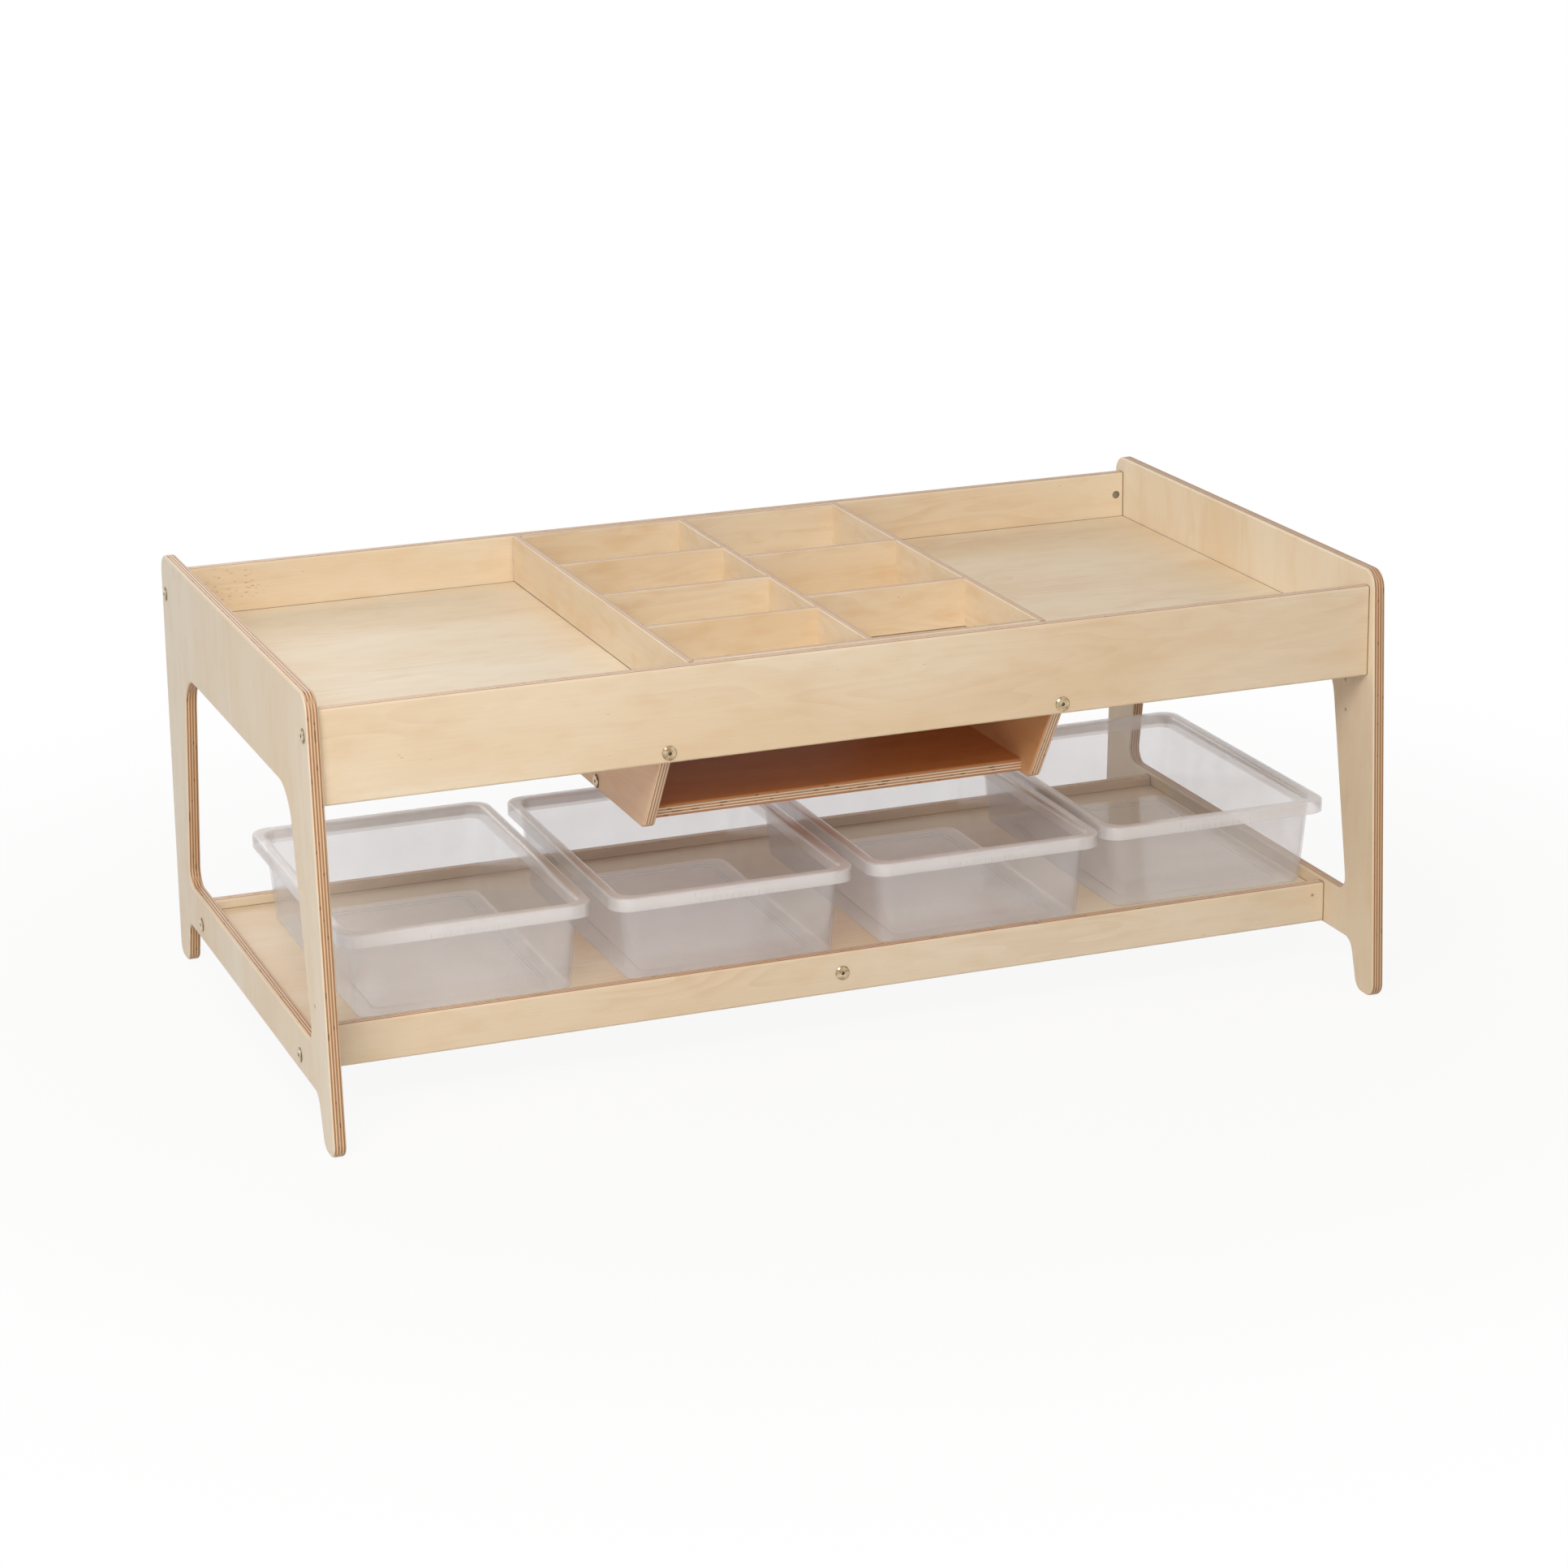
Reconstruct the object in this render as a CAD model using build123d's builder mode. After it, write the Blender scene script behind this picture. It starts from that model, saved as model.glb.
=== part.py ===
from build123d import *
import os

# A low play table in birch plywood: two end panels, four rails, a sunken play tray with a
# lift-out compartment insert, an under-shelf on two brackets, and a lower shelf that four
# clear trays stand on. Millimetres, X along the length, -Y the front, Z up. The origin is
# on the ground, below the middle of the table.

# Boards
ply = 15.0
floor_ply = 9.0
shelf_ply = 6.0
insert_ply = 9.0
edge_round = 3.0
insert_round = 1.5
groove_depth = 6.0
groove_slack = 0.2
housing_depth = 3.0
housing_slack = 0.1

# End panels
panel_height = 524.0
panel_top_depth = 698.0
feet_depth = 748.0
top_corner_radius = 22.0
leg_width_high = 104.0
leg_width_low = 68.0
window_radius_high = 50.0
window_radius_low = 18.0
window_above_rails = 3.0
crossbar_over_shelf_rails = 4.0
crossbar_under_shelf_rails = 2.0
foot_width_high = 56.0
foot_width_low = 42.0
arch_radius = 18.0
foot_radius = 17.0

# Upper rails, and the floor of the play tray between them
rails_inset = 9.0
rails_below_panels = 19.0
rail_height = 109.0
play_depth = 59.0

# Lower rails, shelf and batten
shelf_rail_bottom = 60.0
shelf_rail_height = 50.0
lip_height = 12.0
batten_width = 60.0

# Brackets and under-shelf
bracket_spacing = 478.0
bracket_low_inset = 64.0
bracket_radius = 14.0
bracket_foot = 3.0
under_shelf_level = 316.0
under_shelf_inset = 19.5

# Compartment insert, which stands loose on the floor of the play tray
insert_length = 436.0
insert_height = 59.0
insert_gap = 2.5
insert_left_end = -210.0
left_column_width = 208.5
left_compartments = 4
right_compartments = 3

# Clear trays. They stand in a row on the lower shelf, measured from the right end panel
rim_length = 300.0
rim_depth = 432.0
rim_overhang = 13.0
rim_skirt = 16.0
rim_round = 3.0
rim_radius = 24.0
lip_bend = 3.0
tray_height = 109.0
tray_draft = 8.0
tray_wall = 2.2
tray_floor = 2.4
tray_rest_gap = 0.2
tray_foot_radius = 19.0
tray_toe_radius = 6.0
plateau_margin = 24.0
plateau_rise = 1.6
plateau_radius = 12.0
grip_width = 104.0
grip_proud = 1.0
grip_rib_width = 3.0
grip_rib_pitch = 8.0
grip_rib_height = 7.0
row_spare_length = 70.0
row_spare_depth = 76.0
last_tray_to_panel = 4.5
gaps_between_rims = (9.0, 17.3, 21.0)
tray_setbacks = (28.9, 15.4, 16.1, 19.7)

# Connector bolts, barrel nuts and dowels
bolt_radius = 3.0
bolt_length = 34.0
bolt_head_radius = 8.5
bolt_head_height = 2.0
bolt_rim = 1.3
bolt_socket = 4.0
bolt_socket_depth = 1.4
bolt_play = 0.25
nut_radius = 5.0
nut_length = 12.0
nut_recess = 0.5
nut_play = 0.1
nut_set = 10.5
bore_run_out = 2.0
dowel_radius = 4.0
dowel_length = 30.0
dowel_in_panel = 10.0
dowel_play = 0.05
dowel_rise = 20.0
shelf_rail_bolt_rise = 19.0
bracket_bolt_rise = 12.0
under_shelf_bolt_spacing = 197.0

# Places that follow from the sizes above. The bench is as long as its row of trays needs
bench_length = 4 * rim_length + row_spare_length + 2 * ply
end_outer = bench_length / 2
end_inner = end_outer - ply
rail_outer = panel_top_depth / 2 - rails_inset
rail_middle = rail_outer - ply / 2
rail_inner = rail_outer - ply
rail_top = panel_height - rails_below_panels
rail_bottom = rail_top - rail_height
floor_top = rail_top - play_depth
floor_bottom = floor_top - floor_ply
body_length = rim_length - 2 * rim_overhang
body_depth = rim_depth - 2 * rim_overhang
foot_length = body_length - 2 * tray_draft
foot_depth = body_depth - 2 * tray_draft
shelf_rail_inner = (foot_depth + row_spare_depth) / 2
shelf_rail_outer = shelf_rail_inner + ply
shelf_rail_middle = shelf_rail_inner + ply / 2
shelf_top = shelf_rail_bottom + shelf_rail_height - lip_height
shelf_bottom = shelf_top - shelf_ply
batten_middle = shelf_bottom - ply / 2
window_top = rail_bottom - window_above_rails
window_bottom = shelf_rail_bottom + shelf_rail_height + crossbar_over_shelf_rails
crossbar_bottom = shelf_rail_bottom - crossbar_under_shelf_rails
bracket_middle = bracket_spacing / 2
bracket_low_outer = rail_inner - bracket_low_inset
under_shelf_outer = bracket_low_outer - under_shelf_inset
under_shelf_middle = under_shelf_level - ply / 2
bracket_bottom = under_shelf_level - ply - bracket_foot
insert_depth = 2 * (rail_inner - insert_gap)
left_column_end = insert_left_end + insert_ply + left_column_width
insert_right_end = insert_left_end + insert_length
panel_bolt_high = rail_top - play_depth / 2
panel_bolt_low = shelf_rail_bottom + shelf_rail_bolt_rise
dowel_level = rail_bottom + dowel_rise
bracket_bolt_level = rail_bottom + bracket_bolt_rise
bolt_reach = bolt_length - ply + bore_run_out
both_sides = (-1, 1)

os.makedirs("parts", exist_ok=True)


def finish(piece, node):
    """Label a finished piece and write it under its node's name."""
    piece.part.label = node
    export_step(piece.part, f"parts/{node}.step")


def bore(start, towards, radius, depth):
    """Cut a round hole from a point, in a direction, in the part being built."""
    with Locations(Plane(origin=start, z_dir=towards)):
        Cylinder(radius, depth, align=(Align.CENTER, Align.CENTER, Align.MIN), mode=Mode.SUBTRACT)


def bolt_bore(start, towards, depth):
    """Cut the clearance hole of a connector bolt."""
    bore(start, towards, bolt_radius + bolt_play, depth)


def nut_bore(start, towards):
    """Cut the cross hole of a barrel nut, from the face that the nut goes in by."""
    bore(start, towards, nut_radius + nut_play, nut_length + nut_recess)


# End panels: a splayed trapezium with rounded corners, a window, and an arch between the feet

def leg_edge(level):
    """Half the depth of an end panel, over its sloping outer edges, at a height."""
    splay = (feet_depth - panel_top_depth) / 2 / panel_height
    return panel_top_depth / 2 + splay * (panel_height - level)


def mirrored_outline(points):
    """Close an outline by repeating its points on the other side, in reverse order."""
    return points + [(-y, z) for y, z in reversed(points)]


def end_panel(side):
    """Build the end panel at one end, side -1 at the left and 1 at the right."""
    outer = [
        (panel_top_depth / 2, panel_height),
        (leg_edge(0), 0),
        (leg_edge(0) - foot_width_low, 0),
        (leg_edge(crossbar_bottom) - foot_width_high, crossbar_bottom),
    ]
    window = [
        (leg_edge(window_top) - leg_width_high, window_top),
        (leg_edge(window_bottom) - leg_width_low, window_bottom),
    ]
    with BuildPart() as panel:
        with BuildSketch(Plane.YZ.offset(min(side * end_inner, side * end_outer))) as face:
            with BuildLine():
                Polyline(*mirrored_outline(outer), close=True)
            make_face()
            levels = face.vertices().group_by(Axis.Y)
            fillet(levels[0], foot_radius)
            levels = face.vertices().group_by(Axis.Y)
            fillet(levels[-1], top_corner_radius)
            arch = face.vertices().filter_by_position(Axis.Y, crossbar_bottom - 0.1, crossbar_bottom + 0.1)
            fillet(arch, arch_radius)
        extrude(amount=ply)
        with BuildSketch(Plane.YZ.offset(min(side * end_inner, side * end_outer))) as opening:
            with BuildLine():
                Polyline(*mirrored_outline(window), close=True)
            make_face()
            fillet(opening.vertices().group_by(Axis.Y)[-1], window_radius_high)
            fillet(opening.vertices().group_by(Axis.Y)[0], window_radius_low)
        extrude(amount=ply, mode=Mode.SUBTRACT)
        fillet(panel.faces().filter_by(Axis.X).edges(), edge_round)
        for end in both_sides:
            bolt_bore((side * end_outer, end * rail_middle, panel_bolt_high), (-side, 0, 0), ply)
            bolt_bore((side * end_outer, end * shelf_rail_middle, panel_bolt_low), (-side, 0, 0), ply)
            dowel_mouth = (side * end_inner, end * rail_middle, dowel_level)
            bore(dowel_mouth, (side, 0, 0), dowel_radius + dowel_play, dowel_in_panel + dowel_play)
    return panel


finish(end_panel(-1), "end_panel_left")
finish(end_panel(1), "end_panel_right")


# Rails: rounded boards between the end panels, grooved on the inside for a thinner board

def grooved_rail(side, outer, bottom, height, board_bottom, board_thickness):
    """Build a rail's board, side -1 at the front and 1 at the back, with its groove."""
    with BuildPart() as rail:
        with BuildSketch(Plane.YZ.offset(-end_inner)):
            with Locations((side * (outer - ply / 2), bottom + height / 2)):
                RectangleRounded(ply, height, edge_round)
            with Locations((side * (outer - ply), board_bottom)):
                towards_outside = (Align.MIN if side > 0 else Align.MAX, Align.MIN)
                Rectangle(
                    groove_depth,
                    board_thickness + groove_slack,
                    align=towards_outside,
                    mode=Mode.SUBTRACT,
                )
        extrude(amount=2 * end_inner)
    return rail


def end_fixings(side, middle, inner, level):
    """Cut the bolt and barrel nut holes at both ends of the rail being built."""
    for end in both_sides:
        bolt_bore((end * end_inner, side * middle, level), (-end, 0, 0), bolt_reach)
        nut_bore((end * (end_inner - nut_set), side * inner, level), (0, side, 0))


def upper_rail(side):
    """Build an upper rail, with the holes for its ends and for the two brackets."""
    board = grooved_rail(side, rail_outer, rail_bottom, rail_height, floor_bottom, floor_ply)
    with BuildPart() as rail:
        add(board.part)
        end_fixings(side, rail_middle, rail_inner, panel_bolt_high)
        for end in both_sides:
            dowel_mouth = (end * end_inner, side * rail_middle, dowel_level)
            dowel_depth = dowel_length - dowel_in_panel + dowel_play
            bore(dowel_mouth, (-end, 0, 0), dowel_radius + dowel_play, dowel_depth)
            bolt_bore((end * bracket_middle, side * rail_outer, bracket_bolt_level), (0, -side, 0), ply)
    return rail


def lower_rail(side):
    """Build a lower rail, with the holes for its ends and for the batten."""
    board = grooved_rail(side, shelf_rail_outer, shelf_rail_bottom, shelf_rail_height, shelf_bottom, shelf_ply)
    with BuildPart() as rail:
        add(board.part)
        end_fixings(side, shelf_rail_middle, shelf_rail_inner, panel_bolt_low)
        bolt_bore((0, side * shelf_rail_outer, batten_middle), (0, -side, 0), ply)
    return rail


finish(upper_rail(-1), "front_rail")
finish(upper_rail(1), "back_rail")
finish(lower_rail(-1), "lower_front_rail")
finish(lower_rail(1), "lower_back_rail")


# Thin boards held in the grooves, each a little short of the bottom of its groove

def grooved_board(inner, top, thickness):
    """Build the board that the grooves of two facing rails hold."""
    with BuildPart() as board:
        with BuildSketch(Plane.XY.offset(top - thickness)):
            Rectangle(2 * end_inner, 2 * (inner + groove_depth - groove_slack))
        extrude(amount=thickness)
    return board


finish(grooved_board(rail_inner, floor_top, floor_ply), "top_floor")
finish(grooved_board(shelf_rail_inner, shelf_top, shelf_ply), "lower_shelf")

# Batten under the middle of the lower shelf, laid flat, with a bolt into each end
with BuildPart() as shelf_batten:
    with BuildSketch(Plane.XY.offset(shelf_bottom - ply)):
        Rectangle(batten_width, 2 * shelf_rail_inner)
    extrude(amount=ply)
    for side in both_sides:
        bolt_bore((0, side * shelf_rail_inner, batten_middle), (0, -side, 0), bolt_reach)
        nut_bore((0, side * (shelf_rail_inner - nut_set), shelf_bottom - ply), (0, 0, 1))
finish(shelf_batten, "shelf_batten")


# Brackets: upright behind the rails, then slanting in to a narrower rounded bottom

def bracket(side):
    """Build the bracket at one end of the under-shelf, side -1 left and 1 right."""
    outline = [
        (rail_inner, floor_bottom),
        (rail_inner, rail_bottom - edge_round),
        (bracket_low_outer, bracket_bottom),
    ]
    with BuildPart() as piece:
        with BuildSketch(Plane.YZ.offset(side * bracket_middle - ply / 2)) as face:
            with BuildLine():
                Polyline(*mirrored_outline(outline), close=True)
            make_face()
            fillet(face.vertices().group_by(Axis.Y)[0], bracket_radius)
        extrude(amount=ply)
        rims = piece.faces().filter_by(Axis.X).edges()
        fillet(rims.filter_by(lambda edge: edge.center().Z < rail_bottom - edge_round), edge_round)
        for end in both_sides:
            bolt_bore((side * bracket_middle, end * rail_inner, bracket_bolt_level), (0, -end, 0), bolt_reach)
            nut_mouth = (side * (bracket_middle - ply / 2), end * (rail_inner - nut_set), bracket_bolt_level)
            nut_bore(nut_mouth, (side, 0, 0))
            outer_face = side * (bracket_middle + ply / 2)
            bolt_seat = (outer_face, end * under_shelf_bolt_spacing / 2, under_shelf_middle)
            bolt_bore(bolt_seat, (-side, 0, 0), ply)
    return piece


finish(bracket(-1), "bracket_left")
finish(bracket(1), "bracket_right")

with BuildPart() as under_shelf:
    with BuildSketch(Plane.YZ.offset(-bracket_middle + ply / 2)):
        with Locations((0, under_shelf_middle)):
            RectangleRounded(2 * under_shelf_outer, ply, edge_round)
    extrude(amount=2 * bracket_middle - ply)
    for side in both_sides:
        shelf_end = side * (bracket_middle - ply / 2)
        for end in both_sides:
            bolt_line = end * under_shelf_bolt_spacing / 2
            bolt_bore((shelf_end, bolt_line, under_shelf_middle), (-side, 0, 0), bolt_reach)
            nut_bore((shelf_end - side * nut_set, bolt_line, under_shelf_level - ply), (0, 0, 1))
finish(under_shelf, "under_shelf")


# Compartment insert: thin upright boards, rounded along the top, housed into one another

def divider_lines(compartments):
    """Give the middle line of each divider that makes equal compartments."""
    inside = insert_depth - 2 * insert_ply
    pitch = (inside + insert_ply) / compartments
    return [pitch * count - insert_ply / 2 - inside / 2 for count in range(1, compartments)]


def thin_board(low, high, along):
    """Build an upright board between two corners on plan, running along an axis."""
    with BuildPart() as board:
        with BuildSketch(Plane.XY.offset(floor_top)):
            with Locations(((low[0] + high[0]) / 2, (low[1] + high[1]) / 2)):
                Rectangle(high[0] - low[0], high[1] - low[1])
        extrude(amount=insert_height)
        top_edges = board.faces().sort_by(Axis.Z)[-1].edges().filter_by(along)
        fillet(top_edges, insert_round)
    return board


def housed_wall(wall, left_lines, right_lines):
    """Cut housings for dividers into the left and right faces of a wall that runs along Y."""
    box = wall.part.bounding_box()
    with BuildPart() as housed:
        add(wall.part)
        width = insert_ply + housing_slack
        with BuildSketch(Plane.XY.offset(floor_top)):
            if left_lines:
                with Locations(*[(box.min.X, line) for line in left_lines]):
                    Rectangle(housing_depth, width, align=(Align.MIN, Align.CENTER))
            if right_lines:
                with Locations(*[(box.max.X, line) for line in right_lines]):
                    Rectangle(housing_depth, width, align=(Align.MAX, Align.CENTER))
        extrude(amount=insert_height, mode=Mode.SUBTRACT)
    return housed


def end_wall(side):
    """Build the insert's front or back wall, housed for the centre wall."""
    outer = side * insert_depth / 2
    inner = side * (insert_depth / 2 - insert_ply)
    low = (insert_left_end + insert_ply, min(outer, inner))
    high = (insert_right_end - insert_ply, max(outer, inner))
    wall = thin_board(low, high, Axis.X)
    with BuildPart() as housed:
        add(wall.part)
        with BuildSketch(Plane.XY.offset(floor_top)):
            with Locations((left_column_end + insert_ply / 2, inner + side * housing_depth / 2)):
                Rectangle(insert_ply + housing_slack, housing_depth)
        extrude(amount=insert_height, mode=Mode.SUBTRACT)
    return housed


half_depth = insert_depth / 2
housed_half = half_depth - insert_ply + housing_depth
left_lines = divider_lines(left_compartments)
right_lines = divider_lines(right_compartments)

left_wall = thin_board(
    (insert_left_end, -half_depth), (insert_left_end + insert_ply, half_depth), Axis.Y
)
centre_wall = thin_board(
    (left_column_end, -housed_half), (left_column_end + insert_ply, housed_half), Axis.Y
)
right_wall = thin_board(
    (insert_right_end - insert_ply, -half_depth), (insert_right_end, half_depth), Axis.Y
)
finish(housed_wall(left_wall, [], left_lines), "insert_left_wall")
finish(housed_wall(centre_wall, left_lines, right_lines), "insert_centre_wall")
finish(housed_wall(right_wall, right_lines, []), "insert_right_wall")
finish(end_wall(-1), "insert_front_wall")
finish(end_wall(1), "insert_back_wall")


def divider(left_face, right_face, line):
    """Build a divider across a column, with its ends in their housings."""
    low = (left_face - housing_depth, line - insert_ply / 2)
    high = (right_face + housing_depth, line + insert_ply / 2)
    return thin_board(low, high, Axis.X)


for line, place in zip(left_lines, ("front", "middle", "back")):
    piece = divider(insert_left_end + insert_ply, left_column_end, line)
    finish(piece, f"left_divider_{place}")
for line, place in zip(right_lines, ("front", "back")):
    piece = divider(left_column_end + insert_ply, insert_right_end - insert_ply, line)
    finish(piece, f"right_divider_{place}")

# Clear tray: a drafted tub whose floor is pressed up in the middle, a flanged rim whose skirt
# turns down all round, and a thumb pad with finger ribs on the front and back of the skirt
tray_bottom = shelf_top + tray_rest_gap
tray_top = tray_bottom + tray_height
tray_floor_top = tray_bottom + tray_floor
body_radius = rim_radius - rim_overhang / 3
pad_thickness = tray_wall + grip_proud
rib_count = int(grip_width / grip_rib_pitch) - 1


def inside_body(edge):
    """Tell whether an edge lies on the tub's own outline, and not on its rim."""
    middle = edge.center()
    return abs(middle.X) < body_length / 2 + 1 and abs(middle.Y) < body_depth / 2 + 1


with BuildPart() as tray:
    with BuildSketch(Plane.XY.offset(tray_bottom)):
        RectangleRounded(foot_length, foot_depth, tray_foot_radius)
    with BuildSketch(Plane.XY.offset(tray_top)):
        RectangleRounded(body_length, body_depth, body_radius)
    loft()
    fillet(tray.faces().sort_by(Axis.Z)[0].edges(), tray_toe_radius)
    with BuildSketch(Plane.XY.offset(tray_top)):
        RectangleRounded(rim_length, rim_depth, rim_radius)
    extrude(amount=-tray_wall)
    with BuildSketch(Plane.XY.offset(tray_top)):
        RectangleRounded(rim_length, rim_depth, rim_radius)
        RectangleRounded(
            rim_length - 2 * tray_wall,
            rim_depth - 2 * tray_wall,
            rim_radius - tray_wall,
            mode=Mode.SUBTRACT,
        )
    extrude(amount=-rim_skirt)
    fillet(tray.faces().sort_by(Axis.Z)[-1].edges(), rim_round)
    under_flange = tray.edges().filter_by_position(Axis.Z, tray_top - tray_wall, tray_top - tray_wall)
    fillet(under_flange.filter_by(inside_body), lip_bend)
    for side in both_sides:
        pad_line = side * (rim_depth / 2 - tray_wall + pad_thickness / 2)
        with Locations((0, pad_line, tray_top - rim_round)):
            pad_height = rim_skirt - rim_round - grip_rib_height
            Box(grip_width, pad_thickness, pad_height, align=(Align.CENTER, Align.CENTER, Align.MAX))
        with Locations((0, pad_line, tray_top - rim_skirt)):
            with GridLocations(grip_rib_pitch, 1, rib_count, 1):
                Box(
                    grip_rib_width,
                    pad_thickness,
                    grip_rib_height,
                    align=(Align.CENTER, Align.CENTER, Align.MIN),
                )
    with BuildSketch(Plane.XY.offset(tray_floor_top)):
        RectangleRounded(
            foot_length - 2 * tray_wall,
            foot_depth - 2 * tray_wall,
            tray_foot_radius - tray_wall,
        )
    with BuildSketch(Plane.XY.offset(tray_top)):
        RectangleRounded(
            body_length - 2 * tray_wall,
            body_depth - 2 * tray_wall,
            body_radius - tray_wall,
        )
    loft(mode=Mode.SUBTRACT)
    mouth = tray.edges().filter_by_position(Axis.Z, tray_top, tray_top)
    fillet(mouth.filter_by(inside_body), lip_bend + tray_wall)
    with BuildSketch(Plane.XY.offset(tray_floor_top)):
        RectangleRounded(
            foot_length - 2 * plateau_margin,
            foot_depth - 2 * plateau_margin,
            plateau_radius,
        )
    extrude(amount=plateau_rise)
    with BuildSketch(Plane.XY.offset(tray_bottom)):
        RectangleRounded(
            foot_length - 2 * (plateau_margin + tray_floor),
            foot_depth - 2 * (plateau_margin + tray_floor),
            plateau_radius - tray_floor,
        )
    extrude(amount=plateau_rise, mode=Mode.SUBTRACT)

tray_line = end_inner - last_tray_to_panel - foot_length / 2
tray_lines = [tray_line]
for gap in gaps_between_rims:
    tray_line -= rim_length + gap
    tray_lines.append(tray_line)
for number, line, setback in zip((4, 3, 2, 1), tray_lines, tray_setbacks):
    with BuildPart() as standing_tray:
        with Locations((line, foot_depth / 2 + setback - shelf_rail_inner)):
            add(tray.part)
    finish(standing_tray, f"tray_{number}")

# Connector bolt: a flat round head with a hexagon socket, its seat at the origin, pointing to +Z
with BuildPart() as bolt:
    with BuildSketch(Plane.XY.offset(-bolt_head_height)):
        Circle(bolt_head_radius)
    extrude(amount=bolt_head_height)
    chamfer(bolt.faces().sort_by(Axis.Z)[0].edges(), bolt_rim)
    with BuildSketch(Plane.XY):
        Circle(bolt_radius)
    extrude(amount=bolt_length)
    with BuildSketch(Plane.XY.offset(-bolt_head_height)):
        RegularPolygon(bolt_socket / 2, 6, major_radius=False)
    extrude(amount=bolt_socket_depth, mode=Mode.SUBTRACT)

# Barrel nut: a short steel cylinder with a cross hole for the bolt, its mouth end at the
# origin, pointing to +Z, and its cross hole along X
with BuildPart() as barrel_nut:
    with BuildSketch(Plane.XY.offset(nut_recess)):
        Circle(nut_radius)
    extrude(amount=nut_length)


def fastener_group(fastener, seats):
    """Build one node that holds a fastener at each seat, a start point and a direction."""
    with BuildPart() as group:
        with Locations(*[Plane(origin=start, z_dir=towards) for start, towards in seats]):
            add(fastener.part)
    return group


def nut_group(fastener, seats, bolts):
    """Build one node of barrel nuts, each with the cross hole of the bolt that it holds."""
    nuts = fastener_group(fastener, seats)
    with BuildPart() as drilled:
        add(nuts.part)
        for start, towards in bolts:
            bore(start, towards, bolt_radius + nut_play, bolt_length + bore_run_out)
    return drilled


corners = [(side, end) for side in both_sides for end in both_sides]

panel_bolt_seats = []
panel_nut_seats = []
for end, side in corners:
    high_seat = (end * end_outer, side * rail_middle, panel_bolt_high)
    low_seat = (end * end_outer, side * shelf_rail_middle, panel_bolt_low)
    panel_bolt_seats += [(high_seat, (-end, 0, 0)), (low_seat, (-end, 0, 0))]
    high_nut = (end * (end_inner - nut_set), side * rail_inner, panel_bolt_high)
    low_nut = (end * (end_inner - nut_set), side * shelf_rail_inner, panel_bolt_low)
    panel_nut_seats += [(high_nut, (0, side, 0)), (low_nut, (0, side, 0))]
finish(fastener_group(bolt, panel_bolt_seats), "panel_bolts")
finish(nut_group(barrel_nut, panel_nut_seats, panel_bolt_seats), "panel_barrel_nuts")

bracket_bolt_seats = []
bracket_nut_seats = []
for end, side in corners:
    bolt_seat = (end * bracket_middle, side * rail_outer, bracket_bolt_level)
    bracket_bolt_seats.append((bolt_seat, (0, -side, 0)))
    bracket_face = end * (bracket_middle - ply / 2)
    nut_seat = (bracket_face, side * (rail_inner - nut_set), bracket_bolt_level)
    bracket_nut_seats.append((nut_seat, (end, 0, 0)))
finish(fastener_group(bolt, bracket_bolt_seats), "bracket_bolts")
finish(nut_group(barrel_nut, bracket_nut_seats, bracket_bolt_seats), "bracket_barrel_nuts")

under_shelf_bolt_seats = []
under_shelf_nut_seats = []
for end, side in corners:
    bolt_line = side * under_shelf_bolt_spacing / 2
    bolt_seat = (end * (bracket_middle + ply / 2), bolt_line, under_shelf_middle)
    under_shelf_bolt_seats.append((bolt_seat, (-end, 0, 0)))
    shelf_end = end * (bracket_middle - ply / 2)
    nut_seat = (shelf_end - end * nut_set, bolt_line, under_shelf_level - ply)
    under_shelf_nut_seats.append((nut_seat, (0, 0, 1)))
finish(fastener_group(bolt, under_shelf_bolt_seats), "under_shelf_bolts")
finish(nut_group(barrel_nut, under_shelf_nut_seats, under_shelf_bolt_seats), "under_shelf_barrel_nuts")

batten_bolt_seats = []
batten_nut_seats = []
for side in both_sides:
    batten_bolt_seats.append(((0, side * shelf_rail_outer, batten_middle), (0, -side, 0)))
    nut_seat = (0, side * (shelf_rail_inner - nut_set), shelf_bottom - ply)
    batten_nut_seats.append((nut_seat, (0, 0, 1)))
finish(fastener_group(bolt, batten_bolt_seats), "batten_bolts")
finish(nut_group(barrel_nut, batten_nut_seats, batten_bolt_seats), "batten_barrel_nuts")

# Dowels beside the bolts of the upper rails, partly in the panel and partly in the rail
with BuildPart() as rail_dowels:
    for end, side in corners:
        dowel_start = (end * (end_inner + dowel_in_panel), side * rail_middle, dowel_level)
        with Locations(Plane(origin=dowel_start, z_dir=(-end, 0, 0))):
            Cylinder(dowel_radius, dowel_length, align=(Align.CENTER, Align.CENTER, Align.MIN))
finish(rail_dowels, "rail_dowels")
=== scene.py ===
"""The looks of a low birch plywood play table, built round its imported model.

The boards are rotary-cut birch plywood under a clear satin lacquer, with the plies bare on
their rounded edges. Four clear polypropylene trays stand on the lower shelf, and nickel-plated
connector bolts with zinc-plated barrel nuts hold the table together. Sizes in this file are
millimetres where a name or a comment says so, and metres elsewhere, as Blender has them.
"""

import logging
import math
from dataclasses import dataclass
from enum import Enum

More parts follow.
